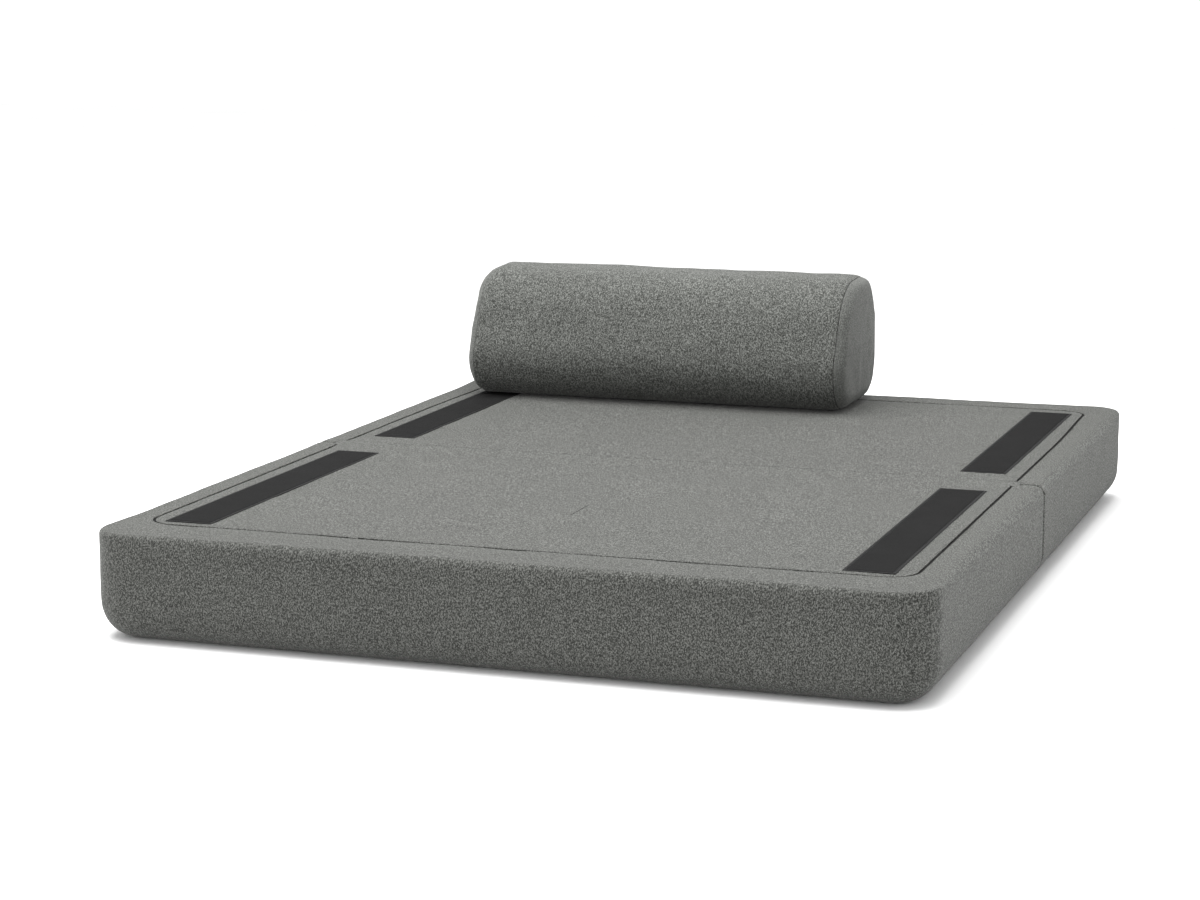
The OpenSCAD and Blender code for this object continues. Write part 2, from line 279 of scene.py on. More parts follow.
FOAM = foam("foam")


# --------------------
# Mesh helpers
# --------------------
def smooth(t):
    t = min(max(t, 0.0), 1.0)
    return t * t * (3 - 2 * t)


def mix(a, b, t):
    return a + (b - a) * t


def add_mesh(name, points, faces, material):
    """A new smooth-shaded object with one material."""
    mesh = bpy.data.meshes.new(name)
    mesh.from_pydata(points, [], faces)
    mesh.materials.append(material)
    made = bpy.data.objects.new(name, mesh)
    bpy.context.scene.collection.objects.link(made)
    for face in mesh.polygons:
        face.use_smooth = True
    return made


def tidy(made, closed=False):
    """Merges doubled points and, for a closed shell, turns its faces outward."""
    work = bmesh.new()
    work.from_mesh(made.data)
    bmesh.ops.remove_doubles(work, verts=work.verts, dist=1e-5)
    bmesh.ops.dissolve_degenerate(work, dist=1e-6, edges=work.edges)
    loose = [v for v in work.verts if not v.link_faces]
    bmesh.ops.delete(work, geom=loose, context="VERTS")
    if closed:
        bmesh.ops.recalc_face_normals(work, faces=work.faces)
    for face in work.faces:
        face.smooth = True
    work.to_mesh(made.data)
    work.free()
    return made


def orient(made, way):
    """Turns a sheet's faces to look the given way on the whole."""
    work = bmesh.new()
    work.from_mesh(made.data)
    bmesh.ops.recalc_face_normals(work, faces=work.faces)
    total = sum((f.normal * f.calc_area() for f in work.faces), Vector())
    if total.dot(way) < 0:
        bmesh.ops.reverse_faces(work, faces=work.faces)
    work.to_mesh(made.data)
    work.free()


def outward(made, middle):
    """Turns a shell's faces away from the given middle."""
    work = bmesh.new()
    work.from_mesh(made.data)
    bmesh.ops.recalc_face_normals(work, faces=work.faces)
    total = sum(f.normal.dot(f.calc_center_median() - middle) * f.calc_area() for f in work.faces)
    if total < 0:
        bmesh.ops.reverse_faces(work, faces=work.faces)
    work.to_mesh(made.data)
    work.free()


def modify(made, kind, **settings):
    modifier = made.modifiers.new(kind.lower(), kind)
    for key, value in settings.items():
        setattr(modifier, key, value)
    return modifier


def applied(made):
    """Turns an object's modifiers into its mesh."""
    graph = bpy.context.evaluated_depsgraph_get()
    mesh = bpy.data.meshes.new_from_object(made.evaluated_get(graph))
    made.modifiers.clear()
    made.data = mesh
    return made


def thickened(made, thickness):
    """Gives a sheet its thickness inward, with crisp cut edges."""
    modify(made, "SOLIDIFY", thickness=thickness, offset=-1.0, use_rim=True)
    applied(made)
    made.data.set_sharp_from_angle(angle=math.radians(55))
    return made


def flipped(points, faces, sign):
    """Mirrors points across the fold for the rear half, and keeps the faces' normals right."""
    if sign < 0:
        return points, faces
    return [(x, -y, z) for x, y, z in points], [tuple(reversed(f)) for f in faces]


def ring_faces(rings, count, closed=True, skip=None):
    """Quads between neighbouring rings of count points each."""
    faces = []
    for k in range(rings - 1):
        for i in range(count if closed else count - 1):
            if skip and skip(k, i):
                continue
            j = (i + 1) % count
            a, b = k * count, (k + 1) * count
            faces.append((a + i, b + i, b + j, a + j))
    return faces


# --------------------
# The mattress halves. Everything is made as the front half and mirrored for the rear one.
# --------------------
# Numbers of points along one ring: the foot or head end, a side, the fold side and the corners
FOOT_RUN = 168
SIDE_RUN = 112
FOLD_RUN = 168
CORNER = 16
FOLD_CORNER = 6


def outline(side, end, r, fold, fold_r):
    """Points round one half, as (x, y, share of the fold side's profile), counterclockwise."""
    x, y, f = HALF_W - side, HALF_L - end, FACE + fold
    points = []

    def run(x0, y0, x1, y1, count, share=0.0):
        for i in range(count):
            t = i / count
            points.append((mix(x0, x1, t), mix(y0, y1, t), share))

    def turn(cx, cy, radius, start, count, s0=0.0, s1=0.0):
        for i in range(count):
            t = i / count
            a = math.radians(start + 90 * t)
            points.append((cx + radius * math.cos(a), cy + radius * math.sin(a),
                           mix(s0, s1, smooth(t))))

    run(-x + r, -y, x - r, -y, FOOT_RUN)
    turn(x - r, -y + r, r, -90, CORNER)
    run(x, -y + r, x, -f - fold_r, SIDE_RUN)
    turn(x - fold_r, -f - fold_r, fold_r, 0, FOLD_CORNER, 0.0, 1.0)
    run(x - fold_r, -f, -x + fold_r, -f, FOLD_RUN, 1.0)
    turn(-x + fold_r, -f - fold_r, fold_r, 90, FOLD_CORNER, 1.0, 0.0)
    run(-x, -f - fold_r, -x, -y + r, SIDE_RUN)
    turn(-x + r, -y + r, r, 180, CORNER)
    return points


LEFT_RUN = FOOT_RUN + CORNER + SIDE_RUN + FOLD_CORNER + FOLD_RUN + FOLD_CORNER  # left side's start
ROUND = LEFT_RUN + SIDE_RUN + CORNER                                            # the whole ring
TOP_TURNS = 8             # rings over the top edge
WALL_STEPS = 13           # rings down the wall
EDGE_STEPS = [0.0, 0.0008, 0.002, 0.0035, 0.0055, 0.008, 0.011, 0.015, 0.020, 0.025, 0.030, 0.035,
              SEAM_SIDE - DITCH - TOP_R]
SLOT_ANGLE = math.degrees(SLOT_HALF / BOTTOM_R)
LOWER_ANGLES = [0, 7, 14, 21, ZIP_TILT - SLOT_ANGLE, ZIP_TILT, ZIP_TILT + SLOT_ANGLE, 47, 54, 61,
                68, 75, 82, 90]


def bow(x, y):
    """How far the inset seam and what lies inside it bow in along the sides of the rear half."""
    side = smooth((abs(x) - 0.5) / 0.15) * math.copysign(1, x)
    return SEAM_BOW * smooth((-y - BOW_FROM) / BOW_RUN) * side


def edge_radius(x, y):
    """Radius of the top edge, which is tighter at the corners."""
    away = math.hypot(HALF_W - abs(x), HALF_L + y)
    return mix(CORNER_EDGE_R, TOP_R, smooth((away - 0.05) / 0.20))


def edge_drop(inset, radius):
    """Depth of a rounded edge below the top at an inset from the wall."""
    return radius - math.sqrt(radius ** 2 - (radius - min(inset, radius)) ** 2)


def half_rings(plan_r, seam_r, border):
    """The profile of a half's cover, from the inset seam over the wall to the underside panel.
    Each ring is (side inset, end inset, corner r, fold inset, fold r, height, fold height, hold),
    where hold is the share of the depth to which a seam holds the cover in. The height is None on
    the top edge, where edge_drop gives it."""
    rings = []
    fold_z = HIGH - HINGE_T - FOLD_GAP
    last = EDGE_STEPS[-1]
    seam_end, even = border - END_DITCH, 0.009      # up to this inset the end follows the sides

    def top(e, drop, under=0.0):
        t = e / last
        end = seam_end - e if e < even else mix(seam_end - even, TOP_R, (e - even) / (last - even))
        return (SEAM_SIDE - DITCH - e, end, mix(seam_r + DITCH, plan_r - TOP_R, t),
                mix(HINGE_HALF - FACE, FOLD_TOP_R, t) + under, mix(0.002, 0.008, t),
                HIGH - drop, fold_z, math.exp(-e / FALL))

    rings.append(top(0.0003, 0.0038, 0.0006))
    rings.append(top(0.0, 0.0026, 0.0003))
    rings.append(top(0.0002, 0.0012))
    for e in EDGE_STEPS[1:]:
        rings.append(top(e, 0.0))
    for step in range(1, TOP_TURNS + 1):
        a = math.radians(90 * step / TOP_TURNS)
        inset, fall = 1 - math.sin(a), 1 - math.cos(a)
        rings.append((TOP_R * inset, TOP_R * inset, plan_r - TOP_R * inset, FOLD_TOP_R * inset,
                      mix(0.008, FOLD_TOP_R, step / TOP_TURNS), None,
                      fold_z - FOLD_TOP_R * fall, 0.0))
    for step in range(1, WALL_STEPS + 1):
        t = step / WALL_STEPS
        rings.append((0, 0, plan_r, 0, FOLD_TOP_R, mix(HIGH - TOP_R, BOTTOM_R, t),
                      mix(fold_z - FOLD_TOP_R, FOLD_BOTTOM_R, t), 0.0))
    for angle in LOWER_ANGLES[1:]:
        a = math.radians(angle)
        inset, fall = 1 - math.cos(a), 1 - math.sin(a)
        rings.append((BOTTOM_R * inset, BOTTOM_R * inset, plan_r - BOTTOM_R * inset,
                      FOLD_BOTTOM_R * inset, mix(FOLD_TOP_R, 0.004, angle / 90),
                      BOTTOM_R * fall, FOLD_BOTTOM_R * fall, 0.0))
    for t, z in ((0.35, 0.0), (0.65, 0.0001), (0.84, 0.0003), (0.95, 0.0006), (1.0, 0.0011)):
        inset = mix(BOTTOM_R, BASE_MARGIN - BASE_DITCH, t)
        rings.append((inset, inset, mix(plan_r - BOTTOM_R, BASE_R + BASE_DITCH, t),
                      mix(FOLD_BOTTOM_R, BASE_FOLD - FACE - BASE_DITCH, t), mix(0.004, 0.002, t),
                      z, z, 0.0))
    rings.append((*rings[-1][:5], 0.0030, 0.0030, 0.0))
    return rings


RINGS = {-1: half_rings(PLAN_R, SEAM_R, FOOT_BORDER),
         1: half_rings(HEAD_PLAN_R, HEAD_SEAM_R, HEAD_BORDER)}
FIRST_LOWER = len(EDGE_STEPS) + 1 + TOP_TURNS + WALL_STEPS      # ring where the bottom round starts


def fold_height(x, z):
    """Height on the fold side: under the hinge panel's edge, and inside the side walls' rounds."""
    past = smooth((abs(x) - HINGE_X + 0.0065) / 0.006) * smooth((z - 0.12) / 0.05)
    z += (HINGE_T + FOLD_GAP) * past
    low, high = abs(x) - (HALF_W - BOTTOM_R), abs(x) - (HALF_W - TOP_R)
    if low > 0:
        z = max(z, BOTTOM_R - math.sqrt(max(BOTTOM_R ** 2 - low ** 2, 0.0)))
    if high > 0:
        z = min(z, HIGH - TOP_R + math.sqrt(max(TOP_R ** 2 - high ** 2, 0.0)))
    return z


def half_shell(sign):
    """(points, hold) of one half's border, walls and lower rim, ring by ring."""
    points, holds = [], []
    for side, end, r, fold, fold_r, height, fold_z, hold in RINGS[sign]:
        inner = 0.0
        if sign > 0 and height and height > HIGH - TOP_R:
            inner = min(max((side - TOP_R) / EDGE_STEPS[-1], 0.0), 1.0)
        for x, y, share in outline(side, end, r, fold, fold_r):
            z = HIGH - edge_drop(side, edge_radius(x, y)) if height is None else height
            points.append((x - bow(x, y) * inner, y, mix(z, fold_height(x, fold_z), share)))
            holds.append(hold * (1 - share))
    return points, holds


def slot_test(along, centre, length, first, count):
    """Says which quads of the rings lie in a zip's slot. The points of its side start at first."""
    above = FIRST_LOWER + LOWER_ANGLES.index(ZIP_TILT) - 1
    slot_rings = (above, above + 1)

    def skip(k, i):
        if k not in slot_rings or not first <= i < first + count - 1:
            return False
        return abs(along[i] - centre) < length / 2
    return skip


# --------------------
# Cloth simulation: foam presses a closed skin outward while its seams hold it
# --------------------
def pressed(name, points, faces, held, voxel, cap):
    """Inflates a closed form as cloth and returns a lookup of how far each place moved, where 1 is
    the distance cap or more."""
    form = tidy(add_mesh(name, points, faces, FOAM), closed=True)
    modify(form, "REMESH", mode="VOXEL", voxel_size=voxel)
    applied(form)
    pins = form.vertex_groups.new(name="pins")
    rest = [v.co.copy() for v in form.data.vertices]
    pins.add([i for i, co in enumerate(rest) if held(co)], 1.0, "REPLACE")
    cloth = modify(form, "CLOTH")
    cloth.settings.vertex_group_mass = "pins"
    for key, value in CLOTH.items():
        setattr(cloth.settings, key, value)
    cloth.settings.effector_weights.gravity = 0.0
    cloth.collision_settings.use_collision = False
    cloth.point_cache.frame_start = 1
    cloth.point_cache.frame_end = CLOTH_FRAMES
    scene = bpy.context.scene
    for number in range(1, CLOTH_FRAMES + 1):
        scene.frame_set(number)
    applied(form)
    scene.frame_set(1)
    tree = kdtree.KDTree(len(rest))
    for i, co in enumerate(rest):
        tree.insert(co, i)
    tree.balance()
    moved = [min((form.data.vertices[i].co - co).length / cap, 1.0) for i, co in enumerate(rest)]
    bpy.data.objects.remove(form)

    def share(co):
        near = tree.find_n(co, 6)
        weights = [1.0 / (d + 0.002) for _, _, d in near]
        return sum(w * moved[i] for w, (_, i, _) in zip(weights, near)) / sum(weights)
    return share


def seam_distance(x, y):
    """Distance of a top point of the front half from the inset seam's line."""
    sx, sy = HALF_W - SEAM_SIDE, HALF_L - FOOT_BORDER
    x, y = abs(x), -y
    cx, cy = sx - SEAM_R, sy - SEAM_R
    if x > cx and y > cy:
        return abs(math.hypot(x - cx, y - cy) - SEAM_R)
    return min(abs(x - sx), abs(y - sy)) if x <= sx and y <= sy else max(x - sx, y - sy)


def half_press(points, faces):
    """How far the foam has pressed each place of a half's skin out, 0 at a seam to 1."""
    top, bottom, start = len(points), len(points) + 1, len(points) - ROUND
    closed = points + [(0, -0.45, HIGH - 0.004), (0, -0.48, 0.0)]
    faces = faces + [(i, (i + 1) % ROUND, top) for i in range(ROUND)]
    faces += [(start + (i + 1) % ROUND, start + i, bottom) for i in range(ROUND)]

    def held(co):
        near = 0.012          # from the top, the floor or the fold
        if co.z > HIGH - near and seam_distance(co.x, co.y) < 0.009:
            return True
        return co.z < near or co.y > -near
    return pressed("half_form", closed, faces, held, voxel=0.011, cap=0.006)


def pull_in(points, faces, holds, press, seed, amount):
    """Sinks a skin at its seams by what the foam doesn't press out, and adds slow unevenness."""
    mesh = bpy.data.meshes.new("work")
    mesh.from_pydata(points, [], faces)
    normals = [v.normal.copy() for v in mesh.vertices]
    bpy.data.meshes.remove(mesh)
    out = []
    for co, normal, hold in zip(points, normals, holds):
        co = Vector(co)
        depth = SINK * hold
        free = smooth((-co.y - HINGE_HALF) / 0.05) * smooth(co.z / 0.05)
        if press and free > 0:
            depth = max(depth, SINK * 0.8 * (1 - press(co)) * free)
        wave = noise.fractal(co * 7.0 + Vector((seed, 0, 0)), 0.6, 2.0, 3)
        fine = noise.noise(co * 31.0 + Vector((0, seed, 0)))
        swell = amount * (wave - 0.55) + 0.00018 * fine
        if normal.z > 0.7:                      # nothing rises into the other half when folded
            swell = min(swell, 0.0)
        out.append(tuple(co + normal * (swell * free - depth)))
    return out


# --------------------
# Top panel, underside panel and hinge band
# --------------------
def panel_ring(e, drop, side, end, r, near, fold_e, fold_drop, near_r=0.003):
    """One contour of a panel: at inset e from its edge, and at inset fold_e on the fold side."""
    points = outline(side + e, end + e, max(r - e, 0.004), near + fold_e - FACE, near_r)
    return [(x, y, HIGH - mix(drop, fold_drop, share)) for x, y, share in points]


def filled(points, count, pitch, z):
    """Triangles and inner points that fill the last ring of count points."""
    rim = [Vector(p[:2]) for p in points[-count:]]
    low = Vector((min(p.x for p in rim), min(p.y for p in rim)))
    high = Vector((max(p.x for p in rim), max(p.y for p in rim)))
    flat = list(rim)
    for i in range(1, int((high.x - low.x) / pitch)):
        for j in range(1, int((high.y - low.y) / pitch)):
            spot = Vector((low.x + i * pitch, low.y + j * pitch))
            if min(spot.x - low.x, high.x - spot.x, spot.y - low.y, high.y - spot.y) > pitch * 0.5:
                if min(high.x - spot.x, spot.x - low.x) + spot.y - low.y > 0.03:
                    flat.append(spot)
    edges = [(i, (i + 1) % count) for i in range(count)]
    made = geometry.delaunay_2d_cdt(flat, edges, [], 1, 1e-6)
    spots = [(p.x, p.y, z) for p in made[0]]
    return points + spots, [tuple(len(points) + i for i in face) for face in made[2]]


def top_panel(sign, name, node):
    """The panel inside the inset seam, with a turned-in edge and a straight lip at the fold."""
    steps = [0.0003, 0.0, 0.0002, 0.0009, 0.002, 0.0035, 0.0055, 0.008, 0.011, 0.015, 0.020, 0.027]
    drops = [0.0038, 0.0026, 0.0012] + [0.0] * 9
    fold_steps = [0.0, 0.0, 0.0001] + steps[3:]
    fold_drops = [0.0022, 0.0011, 0.0 if sign < 0 else FOLD_GAP] + [0.0] * 9
    corner, border, near = SEAM_R, FOOT_BORDER, HINGE_HALF
    if sign > 0:
        corner, border, near = HEAD_SEAM_R, HEAD_BORDER, HINGE_HALF + FOLD_GAP
    points, holds = [], []
    for e, drop, fold_e, fold_drop in zip(steps, drops, fold_steps, fold_drops):
        ring = panel_ring(e, drop, SEAM_SIDE + DITCH, border + END_DITCH, corner - DITCH, near,
                          fold_e, fold_drop)
        if sign > 0:
            ring = [(x - bow(x, y), y, z) for x, y, z in ring]
        points += ring
        holds += [math.exp(-e / FALL)] * len(ring)
    faces = [tuple(reversed(f)) for f in ring_faces(len(steps), ROUND)]
    points, inner = filled(points, ROUND, 0.012, HIGH)
    holds += [0.0] * (len(points) - len(holds))
    holds = [hold * smooth((-y - HINGE_HALF) / 0.03) for (_, y, _), hold in zip(points, holds)]
    faces = faces + inner
    points = pull_in(points, faces, holds, None, 4.0 if sign < 0 else 9.0, 0.0006)
    points, faces = flipped(points, faces, sign)
    made = tidy(add_mesh(name, points, faces, COVER))
    orient(made, Vector((0, 0, 1)))
    thickened(made, PANEL_T)
    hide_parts(node)
    return made


def base_panel(sign, name, material, node):
    """The panel on the underside, with a turned-in edge."""
    points = []
    steps = [0.0, 0.0004, 0.0012, 0.003, 0.008, 0.020]
    heights = [0.0030, 0.0011, 0.0006, 0.0002, 0.0, 0.0]
    for e, z in zip(steps, heights):
        ring = panel_ring(e, 0.0, BASE_MARGIN + BASE_DITCH, BASE_MARGIN + BASE_DITCH,
                          BASE_R - BASE_DITCH, BASE_FOLD + BASE_DITCH, e, 0.0)
        points += [(x, y, z) for x, y, _ in ring]
    faces = ring_faces(len(steps), ROUND)
    points, inner = filled(points, ROUND, 0.03, 0.0)
    points, faces = flipped(points, faces + inner, sign)
    made = tidy(add_mesh(name, points, faces, material))
    orient(made, Vector((0, 0, -1)))
    thickened(made, PANEL_T)
    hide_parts(node)
    return made


def hinge_band():
    """The band across the fold, with turned-in edges and a close row of points at the bend."""
    across = [-0.0250, -0.0246, -0.0240, -0.022, -0.018, -0.013, -0.009, -0.0065]
    across += [-0.005 + 0.0005 * i for i in range(21)]
    across += [-y for y in reversed(across[:8])]
    drops = [0.0] * (len(across) - 2) + [0.0002, 0.0006]
    count = 181
    points = []
    for y, drop in zip(across, drops):
        for i in range(count):
            x = mix(-HINGE_X, HINGE_X, i / (count - 1))
            end = 0.0003 * math.exp(-(HINGE_X - abs(x)) / 0.002)
            ripple = 0.0001 * noise.noise(Vector((x * 22, y * 30, 3.0))) - 0.0001
            points.append((x, y, HIGH - drop - end + ripple))
    faces = ring_faces(len(across), count, closed=False)
    made = tidy(add_mesh("hinge_band", points, faces, COVER))
    orient(made, Vector((0, 0, 1)))
    thickened(made, BAND_T)
    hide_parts("hinge_panel")
    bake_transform(made)


# --------------------
# Hook-and-loop strips
# --------------------
def spaced(length, edges, pitch):
    """Positions from 0 to length: the given edge steps at both ends and an even pitch between."""
    last = edges[-1]
    inner = max(int((length - 2 * last) / pitch), 1)
    middle = [last + (length - 2 * last) * i / inner for i in range(inner + 1)]
    return list(edges[:-1]) + middle + [length - e for e in reversed(edges[:-1])]


def strip_height(e):
    """Height of a strip's top at distance e from its edge: selvedge, stitched groove, pile."""
    if e < 0.0006:
        return 0.0006
    if e < 0.0042:
        return 0.0011
    if e < 0.0058:
        return 0.0008
    return STRIP_T if e > 0.0068 else mix(0.0009, STRIP_T, (e - 0.0058) / 0.001)


def strip(name, side, sign, field, body):
    """A hook or loop strip and its stitches."""
    x0 = STRIP_X if side > 0 else -STRIP_X - STRIP_W
    y0 = -STRIP_Y - STRIP_L if sign < 0 else STRIP_Y
    edges = [0.0, 0.0007, 0.0040, 0.0043, 0.0057, 0.0060, 0.0070]
    xs, ys = spaced(STRIP_W, edges, 0.005), spaced(STRIP_L, edges, 0.008)
    points = []
    for y in ys:
        for x in xs:
            e = min(x, STRIP_W - x, y, STRIP_L - y)
            ripple = 0.0002 * noise.noise(Vector(((x0 + x) * 40, (y0 + y) * 40, 1.0))) - 0.00012
            points.append((x0 + x, y0 + y, HIGH + strip_height(e) + (ripple if e > 0.002 else 0)))
    faces = ring_faces(len(ys), len(xs), closed=False)
    made = add_mesh(name, points, faces, field)
    made.data.materials.append(SELVEDGE)
    for face in made.data.polygons:
        centre = face.center
        e = min(centre.x - x0, x0 + STRIP_W - centre.x, centre.y - y0, y0 + STRIP_L - centre.y)
        face.material_index = 1 if e < STRIP_EDGE else 0
    orient(made, Vector((0, 0, 1)))
    thickened(made, PANEL_T)
    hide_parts(name + "_strip")
    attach(made, body)
    x0, y0 = x0 + STITCH_INSET, y0 + STITCH_INSET
    x1, y1 = x0 + STRIP_W - 2 * STITCH_INSET, y0 + STRIP_L - 2 * STITCH_INSET
    runs = [(x0, y0, x1, y0), (x1, y0, x1, y1), (x1, y1, x0, y1), (x0, y1, x0, y0)]
    stitched(name + "_stitches", runs, HIGH + 0.0009, body)


def stitched(name, runs, lift, body):
    """Rows of stitches, each a short rounded bar, along runs of (x0, y0, x1, y1)."""
    pitch, half, r, sides = 0.0042, 0.0014, 0.00042, 6
    spots = []
    for x0, y0, x1, y1 in runs:
        way = Vector((x1 - x0, y1 - y0, 0))
        count = int(way.length / pitch)
        for i in range(count):
            spots.append((Vector((x0, y0, lift)) + way * ((i + 0.5) / count), way.normalized()))
    points, faces = [], []
    profile = [(-half, 0.25), (-half * 0.6, 0.9), (0, 1.0), (half * 0.6, 0.9), (half, 0.25)]
    for spot, way in spots:
        across = way.cross(Vector((0, 0, 1)))
        start = len(points)
        for along, size in profile:
            for a in range(sides):
                turn = math.radians(360 / sides * a)
                points.append(tuple(spot + way * along + across * (r * size * math.cos(turn))
                                    + Vector((0, 0, r * size * math.sin(turn)))))
        faces += [tuple(start + i for i in face) for face in ring_faces(len(profile), sides)]
        faces.append(tuple(start + a for a in reversed(range(sides))))
        faces.append(tuple(start + (len(profile) - 1) * sides + a for a in range(sides)))
    made = tidy(add_mesh(name, points, faces, THREAD), closed=True)
    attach(made, body)


# --------------------
# Zips
# --------------------
def zip_frame(body):
    """Matrix of a zip's frame: X along the chain, Z out of the fabric, origin on the surface."""
    if body == "rear":
        return (Matrix.Translation((0, HALF_L - BOTTOM_R, BOTTOM_R))
                @ Matrix.Rotation(math.radians(-90 - ZIP_TILT), 4, "X")
                @ Matrix.Translation((0, 0, BOTTOM_R)))
    if body == "front":
        return (Matrix.Translation((-HALF_W + BOTTOM_R, FRONT_ZIP_Y, BOTTOM_R))
                @ Matrix.Rotation(math.radians(90), 4, "Z")
                @ Matrix.Rotation(math.radians(-90 - ZIP_TILT), 4, "X")
                @ Matrix.Translation((0, 0, BOTTOM_R)))
    y, z, r = ROLLS[ZIP_ROLL]
    return (Matrix.Translation((BOLSTER_X, y, z))
            @ Matrix.Rotation(math.radians(-90 - BOLSTER_ZIP_TILT), 4, "X")
            @ Matrix.Translation((0, 0, r)))


def zip_chain(body, length, r):
    """The tape behind a slot, and the chain's teeth, which mesh from its two sides in turn."""
    place = zip_frame(body)
    points = []
    rows, half_width, past, deep = 9, 0.0125, 0.009, r - 0.0042
    count = int(length / 0.010)
    for i in range(count + 1):
        x = mix(-length / 2 - past, length / 2 + past, i / count)
        for j in range(rows):
            a = mix(-half_width, half_width, j / (rows - 1)) / r
            points.append(tuple(place @ Vector((x, deep * math.sin(a), deep * math.cos(a) - r))))
    faces = ring_faces(count + 1, rows, closed=False)
    band = add_mesh(body + "_zip_tape", points, faces, ZIP_TAPE)
    orient(band, place.to_3x3() @ Vector((0, 0, 1)))
    thickened(band, TAPE_T)
    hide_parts(body + "_zip_chain")
    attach(band, body)

    points, faces = [], []

    def block(x, y0, y1, z0, z1, half):
        """A tooth with its outer edges cut off."""
        start, cut = len(points), 0.0004
        section = [(y0, z0), (y1, z0), (y1, z1 - cut), (mix(y0, y1, 0.7), z1),
                   (mix(y0, y1, 0.3), z1), (y0, z1 - cut)]
        sides = len(section)
        for dx in (-half, half):
            points.extend(tuple(place @ Vector((x + dx, y, z))) for y, z in section)
        faces.append(tuple(start + i for i in reversed(range(sides))))
        faces.append(tuple(start + sides + i for i in range(sides)))
        faces.extend(tuple(start + i for i in face) for face in ring_faces(2, sides))

    pitch = 0.0032
    pairs = int((length - 0.008) / pitch)
    for i in range(pairs):
        x = -pitch * pairs / 2 + i * pitch
        block(x, -0.0031, 0.0009, -0.0038, -0.0012, 0.00062)
        block(x + pitch / 2, -0.0009, 0.0031, -0.0038, -0.0012, 0.00062)
    for end in (-1, 1):
        block(end * (length / 2 - 0.003), -0.0028, 0.0028, -0.0039, -0.0009, 0.0011)
    teeth = tidy(add_mesh(body + "_zip_teeth", points, faces, TEETH), closed=True)
    for face in teeth.data.polygons:
        face.use_smooth = False
    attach(teeth, body)


# --------------------
# Bolster
# --------------------
def bolster_arcs():
    """For each roll the angles, in degrees, at which the skin meets it and leaves it."""
    leave = []
    for i, (y0, z0, r0) in enumerate(ROLLS):
        y1, z1, r1 = ROLLS[(i + 1) % len(ROLLS)]
        gap = math.hypot(y1 - y0, z1 - z0)
        leave.append(math.degrees(math.atan2(z1 - z0, y1 - y0) - math.acos((r0 - r1) / gap)))
    arcs = []
    for i, end in enumerate(leave):
        start = leave[i - 1]
        while end < start:
            end += 360
        while end - start > 360:
            end -= 360
        arcs.append((start, end))
    return arcs


def bolster_section():
    """The section's stations, each (roll, angle) or (roll, next roll, share along the flat)."""
    stations = []
    slot = math.degrees(SLOT_HALF / ROLLS[ZIP_ROLL][2])
    for i, (start, end) in enumerate(bolster_arcs()):
        if i == ZIP_ROLL:
            centre = -BOLSTER_ZIP_TILT
            while centre < start:
                centre += 360
            stops = [start, centre - slot, centre, centre + slot, end]
            counts = [5, 1, 1, 8]
            angles = []
            for a, b, n in zip(stops, stops[1:], counts):
                angles += [mix(a, b, k / n) for k in range(n)]
            stations += [(i, a) for a in angles + [end]]
        else:
            n = max(int((end - start) / 5), 8)
            stations += [(i, mix(start, end, k / n)) for k in range(n + 1)]
        following = (i + 1) % len(ROLLS)
        (y0, z0, _), (y1, z1, _) = ROLLS[i], ROLLS[following]
        n = max(int(math.hypot(y1 - y0, z1 - z0) / 0.012), 2)
        stations += [(i, following, end, k / n) for k in range(1, n)]
    return stations


STATIONS = bolster_section()


def bolster_contour(inset):
    """The section's contour drawn in by inset, as (y, z)."""
    points = []
    for station in STATIONS:
        if len(station) == 2:
            y, z, r = ROLLS[station[0]]
            a = math.radians(station[1])
        else:
            first, following, angle, share = station
            y, z, r = (mix(p, q, share) for p, q in zip(ROLLS[first], ROLLS[following]))
            a = math.radians(angle)
        points.append((y + (r - inset) * math.cos(a), z + (r - inset) * math.sin(a)))
    return points


SECTION = len(STATIONS)
STRAIGHT = BOLSTER_L / 2 - BOLSTER_END_R
SEAM_X = BOLSTER_L / 2 - END_SEAM
END_ANGLE = math.degrees(math.asin((BOLSTER_END_R - END_SEAM) / BOLSTER_END_R))
EDGE_ANGLE = 2.5          # degrees over which a piece turns in to the end seam


def bolster_ring(x, inset=0.0):
    return [(BOLSTER_X + x, y, z) for y, z in bolster_contour(inset)]


def bolster_end_ring(side, angle, sink=0.0):
    """A ring on the rounded end, at an angle from 0 beside the body to 90 at the flat end."""
    a = math.radians(angle)
    reach = (BOLSTER_END_R - sink) * math.sin(a)
    inset = BOLSTER_END_R - (BOLSTER_END_R - sink) * math.cos(a)
    return bolster_ring(side * (STRAIGHT + reach), inset)


def end_cap(rings, face_x):
    """The rings with more of them drawn toward the middle of the flat end, and that middle."""
    last = rings[-1]
    middle_y = sum(p[1] for p in last) / SECTION
    middle_z = sum(p[2] for p in last) / SECTION
    for share in (0.93, 0.85, 0.75, 0.64, 0.52, 0.40, 0.28, 0.17, 0.08):
        rings.append([(mix(face_x, p[0], share ** 6), mix(middle_y, p[1], share),
                       mix(middle_z, p[2], share)) for p in last])
    return rings, (face_x, middle_y, middle_z)


def seam_gap(co):
    """Distance along the bolster from the nearer end seam."""
    return abs(abs(co.x - BOLSTER_X) - SEAM_X)


